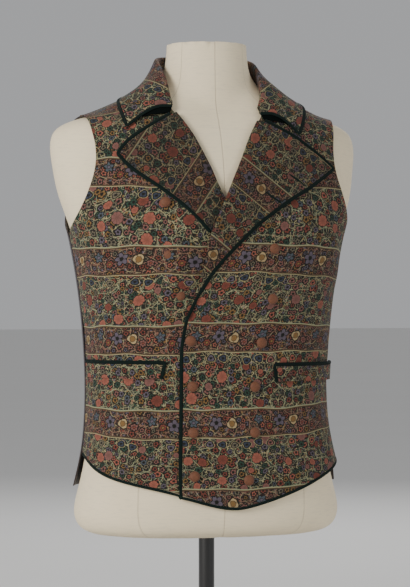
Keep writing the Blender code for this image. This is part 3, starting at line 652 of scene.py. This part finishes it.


# Near black and matt: painted shadow for the notches
def painted_shadow_velvet():
    s = Finish("painted shadow velvet", 1.0, {"Specular IOR Level": 0.05})
    pile = s.noise(s.place(), 0.4)
    return s.done(s.mix(pile, dye(5, 8, 8), dye(14, 20, 18)), s.bump(pile, 0.15 * MM))


def button_cloth():
    s = Finish("button cloth", 0.7, {"Sheen Weight": 0.25, "Sheen Roughness": 0.4})
    place = s.place()
    fine = s.noise(place, 0.7)
    tone = s.mix(s.noise(place, 5.0), dye(98, 56, 33), dye(121, 73, 44))
    tone = s.mix(s.step(fine, 0.56, 0.1), tone, dye(82, 47, 28))
    return s.done(tone, s.bump(fine, 0.2 * MM, 0.8))


SATEEN, LINING, BRAID, SHADOW_VELVET, BUTTON = sateen(), lining(), ribbed_braid(), painted_shadow_velvet(), button_cloth()
print("Cloths:", [cloth.name for cloth in (SATEEN, LINING, BRAID, SHADOW_VELVET, BUTTON)])

# %% [markdown]
# ## Calico and enamel
#
# The form is covered in cream calico, sewn in panels and drawn tight, so that it sinks in a little
# at each seam. The stand is gloss enamel with a little dust on it.

# %% Calico and enamel
PANEL_SEAMS = (51, 96, 134)
FORM_RADIUS = 150.0
SEAM_DIP = 9.0
THREADS_UP, THREADS_ROUND = 9.0, 1300.0


def calico():
    s = Finish("cream calico", 0.9, {"Sheen Weight": 0.08, "Specular IOR Level": 0.25})
    place = s.place()
    x, y, z = s.split(place)
    turn = s.sum("ARCTAN2", s.away(x), s.times(y, -1.0))
    nearest = SEAM_DIP
    for degrees in PANEL_SEAMS:
        far = s.times(s.away(turn, math.radians(degrees)), FORM_RADIUS)
        nearest = s.sum("MINIMUM", nearest, far)
    nearest = s.sum("MINIMUM", nearest, s.away(x))
    seam = s.below(nearest, 0.7, 1.0)
    dip = s.below(nearest, SEAM_DIP, 2 * SEAM_DIP)
    threads = (s.sum("SINE", s.times(way, count)) for way, count in ((z, THREADS_UP), (turn, THREADS_ROUND)))
    weave = s.sum("MAXIMUM", *threads)
    slubs = s.noise(s.move("MULTIPLY", place, (0.2, 0.2, 1.6)), 3.0, 3.0)
    tone = s.mix(s.noise(place, 60.0, 3.0), dye(242, 225, 190), dye(250, 234, 201))
    tone = s.mix(s.times(s.step(slubs, 0.6, 0.2), 0.35), tone, dye(222, 208, 180))
    tone = s.mix(s.times(seam, 0.35), tone, dye(172, 158, 132))
    height = s.minus(s.sum("MULTIPLY_ADD", weave, 0.05, s.times(slubs, 0.25)), seam)
    height = s.sum("MULTIPLY_ADD", dip, 0.5, height)
    return s.done(tone, s.bump(height, 0.7 * MM, 0.8))


def black_enamel():
    s = Finish("black enamel", 0.14, {"Coat Weight": 0.4, "Coat Roughness": 0.06})
    place = s.place()
    dust = s.step(s.noise(place, 3.0, 4.0), 0.68, 0.1)
    tone = s.mix(s.times(dust, 0.08), dye(8, 8, 9), dye(70, 68, 65))
    return s.done(tone, s.bump(s.noise(place, 14.0), 0.05 * MM, 0.4))


CALICO, ENAMEL = calico(), black_enamel()
print("The calico has", 2 * len(PANEL_SEAMS) + 2, "seams")

# %% [markdown]
# ## From a plain wall to cloth
#
# Each wall of cloth in the frame is a closed shell of large triangles. Smoothing it whole would
# round its thin edge away, so only its outer side is kept: the triangles are joined to four-sided
# faces, the sharp rim is found, and the larger of the two sides stays. Subdivision makes that
# sheet smooth, soft folds are pressed into it, and Solidify gives the cloth its thickness back,
# inwards, so that the outer side is still where the frame has it.

# %% The outer side of a wall
RIM_ANGLE = math.radians(62)
PAIR_ANGLE = math.radians(60)


def joined_faces(name):
    """A node's mesh with its triangles joined to four-sided faces."""
    bm = bmesh.new()
    bm.from_mesh(nodes[name].data)
    bmesh.ops.remove_doubles(bm, verts=bm.verts, dist=0.001 * MM)
    bmesh.ops.join_triangles(
        bm,
        faces=bm.faces,
        angle_face_threshold=PAIR_ANGLE,
        angle_shape_threshold=math.pi,
        topology_influence=2.0,
    )
    return bm


def sides_of(bm):
    """The faces in groups that sharp edges part, the largest group first."""
    left, groups = set(bm.faces), []
    while left:
        group = [left.pop()]
        for face in group:
            for edge in face.edges:
                if len(edge.link_faces) == 2 and edge.calc_face_angle(0) < RIM_ANGLE:
                    fresh = [f for f in edge.link_faces if f in left]
                    left.difference_update(fresh)
                    group.extend(fresh)
        groups.append(group)
    return sorted(groups, key=lambda group: -sum(f.calc_area() for f in group))


def outer_side(name):
    bm = joined_faces(name)
    keep = set(sides_of(bm)[0])
    bmesh.ops.delete(bm, geom=[f for f in bm.faces if f not in keep], context="FACES")
    return bm


def subdivided(bm, name, levels):
    """A smooth mesh from the coarse one. The corners of its border stay put."""
    cage = placed(name, mesh_from(bm, name))
    smooth = cage.modifiers.new("smooth", "SUBSURF")
    smooth.levels = smooth.render_levels = levels
    smooth.boundary_smooth = "PRESERVE_CORNERS"
    ready = cage.evaluated_get(bpy.context.evaluated_depsgraph_get())
    mesh = bpy.data.meshes.new_from_object(ready)
    bpy.data.objects.remove(cage)
    return mesh


def triples(values, name):
    """A property of every vertex, such as its place, as rows of three."""
    rows = np.empty(len(values) * 3)
    values.foreach_get(name, rows)
    return rows.reshape(-1, 3)


print(f"Edges sharper than {math.degrees(RIM_ANGLE):.0f} degrees part the sides of a wall")

# %% [markdown]
# ## Folds
#
# Worn cloth is never quite smooth: it draws from a button, hangs in from the chest and ripples
# where the body narrows. A simulation would find such folds, but not these ones. Each is given
# instead, as a line on the front or back with a width and a height, and the sheet rises or sinks
# along it and fades out towards its ends. A negative height is a trough. No trough brings the cloth
# nearer to the form than CLEAR.

# %% Press folds into a sheet
CLEAR = 1.9
# Between which shares of its length a fold fades in, and out
FADE_IN, FADE_OUT = (-0.12, 0.3), (1.12, 0.7)
# Each fold runs from x and z to x and z, and then come its width and its height
LEFT_FOLDS = [
    (-40, 600, -22, 520, 9, 1.5),
    (44, 560, 150, 500, 16, 2.0),
    (60, 520, 165, 476, 12, -1.4),
    (30, 440, 120, 470, 11, 1.4),
    (0, 470, 60, 400, 13, -1.2),
    (60, 402, 150, 372, 14, 1.8),
    (34, 372, 130, 330, 12, -1.4),
    (46, 330, 120, 300, 11, 1.4),
    (150, 640, 172, 560, 12, 2.2),
    (120, 650, 150, 600, 10, -1.4),
    (165, 460, 150, 380, 9, -1.5),
    (-20, 400, 30, 300, 15, 1.0),
    (160, 700, 178, 655, 8, 1.8),
]
RIGHT_FOLDS = [
    (-66, 640, -88, 505, 13, 3.4),
    (-48, 668, -72, 520, 17, 4.9),
    (-141, 366, -94, 424, 12, 3.5),
    (-122, 366, -72, 410, 10, -1.9),
    (-165, 420, -110, 452, 10, 1.4),
    (-80, 500, -150, 470, 12, -1.4),
    (-150, 560, -100, 520, 14, 1.5),
    (-172, 610, -150, 560, 11, 1.9),
    (-110, 640, -150, 590, 12, -1.1),
    (-172, 520, -160, 440, 9, -1.6),
    (-150, 340, -100, 312, 11, 1.5),
    (-90, 350, -70, 300, 10, -1.1),
    (-155, 700, -178, 655, 9, 1.6),
]
BACK_FOLDS = [
    (-150, 640, -60, 560, 11, 3.2),
    (-168, 560, -80, 520, 9, -2.4),
    (-150, 490, -50, 470, 8, 3.0),
    (-120, 450, -20, 440, 7, -2.4),
    (-160, 420, -60, 410, 9, 2.8),
    (150, 630, 70, 550, 10, 2.8),
    (165, 540, 60, 505, 8, -2.2),
    (140, 480, 30, 458, 9, 3.2),
    (160, 430, 50, 425, 7, -2.5),
    (130, 395, 20, 388, 10, 2.4),
    (-60, 700, 60, 690, 12, 2.0),
    (-110, 380, -30, 350, 9, -1.8),
    (90, 350, 40, 300, 10, -2.0),
    (-60, 340, -90, 295, 9, 2.4),
    (0, 760, 0, 292, 3.0, -2.0),
]


def tree_of(mesh):
    """A mesh made ready to be asked for its nearest place to a point."""
    bm = bmesh.new()
    bm.from_mesh(mesh)
    tree = BVHTree.FromBMesh(bm)
    bm.free()
    return tree


form_tree = tree_of(nodes["dress_form"].data)


def press_folds(mesh, folds):
    """Moves the sheet along its normals by every fold, and off the form where it is too near."""
    points, normals = triples(mesh.vertices, "co"), triples(mesh.vertex_normals, "vector")
    flat = points[:, (0, 2)] / MM
    rise = np.zeros(len(points))
    for x0, z0, x1, z1, width, height in folds:
        start, way = np.array((x0, z0)), np.array((x1 - x0, z1 - z0))
        share = (flat - start) @ way / (way @ way)
        nearest = start + np.clip(share, 0, 1)[:, None] * way
        far = np.linalg.norm(flat - nearest, axis=1)
        fade = smooth_between(*FADE_IN, share) * smooth_between(*FADE_OUT, share)
        rise += height * np.exp(-((far / width) ** 2)) * fade
    points += normals * (rise * MM)[:, None]
    for k in np.flatnonzero(rise < 0):
        place, outwards, _, _ = form_tree.find_nearest(Vector(points[k]))
        depth = (Vector(points[k]) - place).dot(outwards)
        if depth < CLEAR * MM:
            points[k] += np.array(outwards) * (CLEAR * MM - depth)
    mesh.vertices.foreach_set("co", points.ravel())
    mesh.update()


print("Folds:", [len(folds) for folds in (LEFT_FOLDS, RIGHT_FOLDS, BACK_FOLDS)])

# %% [markdown]
# ## Making a cloth piece
#
# Every panel goes through the same steps, so one function does them: the outer side, the folds,
# the UV map, the thickness, a small round on the edges, and the dark lining on the inside. Last,
# the piece is hung on the root, and the plain wall that it stands for is hidden.

# %% How a cloth piece is made
THICKNESS, EDGE_ROUND = 1.5, 0.45
EDGE_ANGLE = math.radians(50)


def finish_piece(obj, slot, *replaced):
    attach(obj, "root")
    if replaced:
        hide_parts(*replaced)
    return obj


def new_piece(name, mesh, *materials):
    obj = placed(name, mesh)
    mesh.materials.clear()
    for material in materials:
        mesh.materials.append(material)
    mesh.shade_smooth()
    return obj


def lay_out(mesh, cut):
    """Writes the UV map from across and up, in millimetres, at each vertex."""
    corners = np.empty(len(mesh.loops), int)
    mesh.loops.foreach_get("vertex_index", corners)
    flat = np.stack(cut, 1) * MM
    layer = mesh.uv_layers.new(name="cut")
    layer.data.foreach_set("uv", flat[corners].ravel())


def thickened(obj, thickness, offset):
    wall = obj.modifiers.new("thickness", "SOLIDIFY")
    wall.thickness = thickness * MM
    wall.offset = offset
    return wall


def cloth_piece(node, cut, folds=(), levels=3, outside=PRINTED, slot="printed_cloth", kept=0.0):
    mesh = subdivided(outer_side(node), node, levels)
    press_folds(mesh, folds)
    lay_out(mesh, cut(triples(mesh.vertices, "co")))
    # How far the print is darkened as painted shade
    painted_shade = mesh.attributes.new("kept", "FLOAT", "POINT")
    painted_shade.data.foreach_set("value", np.full(len(mesh.vertices), kept))
    obj = new_piece(f"cloth_{node}", mesh, outside, LINING)
    wall = thickened(obj, THICKNESS, -1)
    wall.material_offset = 1
    wall.material_offset_rim = 0
    edge = obj.modifiers.new("turned edge", "BEVEL")
    edge.width = EDGE_ROUND * MM
    edge.segments = 2
    edge.limit_method = "ANGLE"
    edge.angle_limit = EDGE_ANGLE
    return finish_piece(obj, slot, node)


print("The cloth is", THICKNESS, "mm thick, and its edges are rounded by", EDGE_ROUND, "mm")

# %% [markdown]
# ## The panels
#
# The fronts are laid out by height, the lapels aslant, and each welt as the front that it lies on,
# with the print shifted sideways. The back has no print, but gets the same map.

# %% Cloth pieces
# How far the collar's middle is in front of the form's axis, its radius round it, and how much
# print there is for each millimetre down from the fold, and where it starts
NECK_FORWARD, COLLAR_RADIUS = 20, 95
COLLAR_DOWN, COLLAR_ZERO = 0.68, 438
LEFT_LAPEL = dict(degrees=-38, across_zero=-385, up_zero=255)
RIGHT_LAPEL = dict(degrees=235, across_zero=-549.9, up_zero=-521.8)


def collar_cut(points):
    """Round the neck and down from the fold, so that the print follows the collar."""
    x, y, z = points.T / MM
    reach = np.hypot(x, y + NECK_FORWARD)
    return np.arctan2(x, y + NECK_FORWARD) * COLLAR_RADIUS, (z - reach) * COLLAR_DOWN - COLLAR_ZERO


def back_cut(points):
    return around_body(points), points[:, 2] / MM


def left_cut(points, drift=LEFT_DRIFT):
    return front_cut(points, LEFT_EDGES, drift, LEFT_RISE)


def right_cut(points, drift=RIGHT_DRIFT):
    return front_cut(points, RIGHT_EDGES, drift, RIGHT_RISE)


front_left = cloth_piece("front_left", left_cut, LEFT_FOLDS)
front_right = cloth_piece("front_right", right_cut, RIGHT_FOLDS)
back = cloth_piece("back", back_cut, BACK_FOLDS, levels=2, outside=SATEEN, slot="back_cloth")
# The lapels' print is darkened as painted shade, the right one more
lapel_left = cloth_piece("lapel_left", lambda p: aslant_cut(p, **LEFT_LAPEL), kept=0.55)
lapel_right = cloth_piece("lapel_right", lambda p: aslant_cut(p, **RIGHT_LAPEL), kept=0.8)
welt_left = cloth_piece("welt_left", lambda p: left_cut(p, drift=[(0, 38)]))
welt_right = cloth_piece("welt_right", lambda p: right_cut(p, drift=[(0, 12)]))
collar = cloth_piece("collar", collar_cut)
print("Cloth pieces:", [len(o.data.polygons) for o in (front_left, front_right, back, collar)])

# %% [markdown]
# ## Binding
#
# The edges are bound with braid, folded over them and sewn down. The frame has it as a flat strip
# beside each edge, with a hair's gap. A strip that is swelled a little along its normals closes
# the gap and laps over the cloth, and subdivision makes its section round. The ribs need to know
# how far along the strip they are: that is the shortest way from one end along the strip's edges.

# %% Braid
SWELL, TIP = 0.62, 0.5
# Ends that are drawn out to meet the next strip: near which point, and how far they move
DRAWN_OUT = {
    "braid_edge_left": [((-57, -111, 505), (5.4, -1.8, 12.5)), ((-62, -114, 279), (0.8, -0.2, -2.6))],
    "braid_hem_left": [((-60, -114, 279), (-4.0, 0.6, -0.4))],
    "braid_hem_right": [((-65, -111, 281), (4.0, -1.8, -1.6))],
}


def end_faces(bm):
    return [f for f in bm.faces if all(len(v.link_faces) == 3 for v in f.verts)]


def end_near(bm, near):
    return min(end_faces(bm), key=lambda f: (f.calc_center_median() - near).length)


def along_strip(bm, near=Vector((0, 0, 0))):
    """How far each vertex of a strip is from its end near a point."""
    first = end_near(bm, near)
    far = {v: 0.0 for v in first.verts}
    queue = [(0.0, v.index, v) for v in first.verts]
    while queue:
        run, _, vert = heapq.heappop(queue)
        for edge in vert.link_edges:
            other, reach = edge.other_vert(vert), run + edge.calc_length()
            if reach < far.get(other, math.inf):
                far[other] = reach
                heapq.heappush(queue, (reach, other.index, other))
    return far


def draw_out_ends(bm, node):
    for near, move in DRAWN_OUT.get(node, ()):
        for vert in end_near(bm, Vector(near) * MM).verts:
            vert.co += Vector(move) * MM
    bm.normal_update()


def blunt_ends(bm):
    """A short last ring at each end, so that smoothing doesn't draw the end to a point."""
    ends = end_faces(bm)
    outwards = [f.normal * TIP * MM for f in ends]
    tips = bmesh.ops.extrude_discrete_faces(bm, faces=ends)["faces"]
    for face, move in zip(tips, outwards):
        for vert in face.verts:
            vert.co += move
    bm.verts.index_update()


def braid_piece(node):
    bm = joined_faces(node)
    draw_out_ends(bm, node)
    blunt_ends(bm)
    layer = bm.verts.layers.float.new("run")
    for vert, run in along_strip(bm).items():
        vert[layer] = run
    bm.normal_update()
    swelled = [(vert, vert.normal * SWELL * MM) for vert in bm.verts]
    for vert, push in swelled:
        vert.co += push
    name = node.replace("braid", "binding")
    return finish_piece(new_piece(name, subdivided(bm, node, 3), BRAID), "binding", node)


bindings = {name: braid_piece(name) for name in nodes if name.startswith("braid_")}
print("Strips of braid:", len(bindings))

# %% [markdown]
# ## The notches
#
# Between collar and lapel there is a notch. It looks black, because it lies in shadow where the two
# bindings run close together. That shadow is painted: a near-black sheet ruled between the middle
# lines of the two strips, which narrows away from the neck.

# %% Notch facings
NOTCH = 44.0
SHADOW_SHEET_THICK = 0.8
# The share of the way from collar to lapel that it reaches at the neck, how much less at its
# other end, and how far in it lies at its edges, and more in its middle
REACHES_DOWN, NARROWS = 0.8, 0.62
SET_IN, HOLLOW = 0.8, 1.2


def middle_line(node, near):
    """How far along a strip its rings are from its end near a point, and their middles."""
    bm = joined_faces(node)
    run = along_strip(bm, Vector(near) * MM)
    order = sorted(bm.verts, key=lambda v: run[v])
    rings = [order[k : k + 4] for k in range(0, len(order) - 3, 4)]
    points = np.array([[sum(v.co[a] for v in ring) / 4 for a in range(3)] for ring in rings])
    reach = np.array([sum(run[v] for v in ring) / 4 for ring in rings])
    bm.free()
    return reach, points.T


def shadow_sheet_piece(name, collar_end, lapel, lapel_end):
    lines = [middle_line("braid_collar", collar_end), middle_line(lapel, lapel_end)]
    bm = bmesh.new()
    bmesh.ops.create_grid(bm, x_segments=10, y_segments=4, size=1)
    for vert in bm.verts:
        share, down = (vert.co.x + 1) / 2, (vert.co.y + 1) / 2
        along = share * NOTCH * MM
        top, low = (Vector([np.interp(along, reach, axis) for axis in axes]) for reach, axes in lines)
        place = top.lerp(low, down * (REACHES_DOWN - NARROWS * share))
        inwards = Vector((-place.x, -place.y, 0)).normalized()
        vert.co = place + inwards * (SET_IN + HOLLOW * math.sin(math.pi * down)) * MM
    bmesh.ops.recalc_face_normals(bm, faces=bm.faces)
    # The sheet is painted shadow in the notch
    obj = new_piece(name, subdivided(bm, name, 1), SHADOW_VELVET)
    thickened(obj, SHADOW_SHEET_THICK, 0)
    return finish_piece(obj, "binding")


shadow_sheet_left = shadow_sheet_piece("shadow_sheet_left", (58, -76, 791), "braid_lapel_left", (63, -83, 781))
shadow_sheet_right = shadow_sheet_piece("shadow_sheet_right", (-65, -70, 800), "braid_lapel_right", (-69, -77, 789))
print("Painted notch shadows:", shadow_sheet_left.name, shadow_sheet_right.name)

# %% [markdown]
# ## Buttons
#
# A covered button is a domed mould with cloth drawn over it and gathered behind. Its profile is
# turned round its axis. Every button is a copy, set where the frame's plain one is: the middle of
# its back and the way it faces are read from that one's vertices.

# %% Covered buttons
# Radius and height, from the top of the dome to the middle of the back
BUTTON_PROFILE = [
    (0, 4.7), (2.6, 4.55), (4.8, 3.95), (6.4, 2.8), (7.25, 1.5),
    (7.35, 0.6), (6.7, -0.25), (4.0, -0.75), (0, -0.8),
]
BUTTON_STEPS = 24


def turned(profile, steps):
    """A shape turned on a lathe from its profile, radius and height."""
    bm = bmesh.new()
    verts = [bm.verts.new((r * MM, 0, z * MM)) for r, z in profile]
    line = verts + [bm.edges.new(pair) for pair in zip(verts, verts[1:])]
    axis = dict(axis=(0, 0, 1), cent=(0, 0, 0), angle=math.tau)
    bmesh.ops.spin(bm, geom=line, steps=steps, use_merge=True, **axis)
    bmesh.ops.remove_doubles(bm, verts=bm.verts, dist=0.01 * MM)
    bmesh.ops.recalc_face_normals(bm, faces=bm.faces)
    return bm


def set_like(node):
    """Where a plain button sits and which way it faces, as a matrix."""
    points = triples(nodes[node].data.vertices, "co")
    centre = points.mean(0)
    facing = np.linalg.svd(points - centre)[2][2]
    facing *= np.sign(facing @ (centre * (1, 1, 0)))
    foot = centre + facing * ((points - centre) @ facing).min()
    return Matrix.Translation(foot) @ Vector(facing).to_track_quat("Z", "Y").to_matrix().to_4x4()


for name in [n for n in nodes if n.startswith("button_")]:
    bm = turned(BUTTON_PROFILE, BUTTON_STEPS)
    bmesh.ops.transform(bm, matrix=set_like(name), verts=bm.verts)
    obj = new_piece(f"covered_{name}", subdivided(bm, name, 1), BUTTON)
    finish_piece(obj, "button_cloth", name)

# %% [markdown]
# ## Buttonholes
#
# A worked buttonhole is a slit closed by a row of tight stitches in dark twist. At this size it
# is a thin raised bar, so each is a small ball, drawn out and flattened, that lies on the cloth.
# Two are in the left lapel, and four in the left front, where the right row's buttons sit.

# %% Worked buttonholes
HOLE_HALF_WIDTH, HOLE_HALF_HEIGHT = 1.4, 0.8
HOLE_STARTS, HOLE_ENDS = -10, 2
IN_FRONT = -150
# On which piece, and the two ends as x and z
BUTTONHOLES = [(lapel_left, (60, 691), (84, 676)), (lapel_left, (103, 722), (126, 712))]
for number in range(1, 5):
    seat = set_like(f"button_{number}_right").translation / MM
    BUTTONHOLES.append((front_left, (seat.x + HOLE_STARTS, seat.z), (seat.x + HOLE_ENDS, seat.z)))


def buttonhole(number, piece, *ends):
    tree = tree_of(piece.data)
    found = [tree.find_nearest(Vector((x, IN_FRONT, z)) * MM) for x, z in ends]
    start, end = (place for place, _, _, _ in found)
    outwards = found[1][1]
    if outwards.y > 0:
        outwards.negate()
    along = (end - start).normalized()
    across = outwards.cross(along).normalized()
    turn = Matrix((along, across, along.cross(across))).transposed().to_4x4()
    half = ((end - start).length / 2, HOLE_HALF_WIDTH * MM, HOLE_HALF_HEIGHT * MM)
    bm = bmesh.new()
    bmesh.ops.create_uvsphere(bm, u_segments=16, v_segments=10, radius=1)
    bmesh.ops.scale(bm, vec=half, verts=bm.verts)
    bmesh.ops.transform(bm, matrix=Matrix.Translation((start + end) / 2) @ turn, verts=bm.verts)
    name = f"buttonhole_{number}"
    return finish_piece(new_piece(name, mesh_from(bm, name), BRAID), "binding")


holes = [(row[0], buttonhole(number, *row)) for number, row in enumerate(BUTTONHOLES, 1)]
print("Buttonholes:", len(holes))

# %% [markdown]
# ## The dress form and its stand
#
# The form is a padded torso in calico. Its mesh is already a stack of rings, so it only needs
# smoothing. The edge of the neck is creased first, so that it stays crisp. The foot and the pole
# are turned from their profiles.

# %% Dress form and stand
NECK_ANGLE, NECK_CREASE = math.radians(70), 0.75
SHARP_ANGLE = math.radians(35)
# Radius and height, from the top down
FOOT_PROFILE = [
    (0, 34), (17.4, 34), (19, 33.4), (19.8, 32), (20.5, 14.6), (21.6, 12.6), (24, 11.5), (60, 10.6),
    (146, 8), (148.4, 7.4), (149.6, 6), (150, 4.5), (150, 1.2), (149.2, 0.3), (148, 0), (0, 0),
]
POLE_PROFILE = [
    (0, 219.5), (17, 219.5), (17.6, 218.6), (17.6, 214.4), (17, 213.5), (11, 213.5), (11, 47),
    (13.2, 46.4), (13.8, 45), (13.8, 35.2), (13.2, 34.2), (0, 34.2),
]


def form_piece():
    bm = joined_faces("dress_form")
    crease = bm.edges.layers.float.new("crease_edge")
    for edge in bm.edges:
        if len(edge.link_faces) == 2 and edge.calc_face_angle(0) > NECK_ANGLE:
            edge[crease] = NECK_CREASE
    obj = new_piece("form_cover", subdivided(bm, "dress_form", 2), CALICO)
    return finish_piece(obj, "form_cloth", "dress_form")


def turned_piece(name, profile, steps, node):
    obj = new_piece(name, mesh_from(turned(profile, steps), name), ENAMEL)
    obj.data.set_sharp_from_angle(angle=SHARP_ANGLE)
    return finish_piece(obj, "stand_metal", node)


stand = [
    form_piece(),
    turned_piece("foot", FOOT_PROFILE, 96, "stand_foot"),
    turned_piece("pole", POLE_PROFILE, 64, "stand_pole"),
]
print("Form and stand:", [(o.name, len(o.data.polygons)) for o in stand])
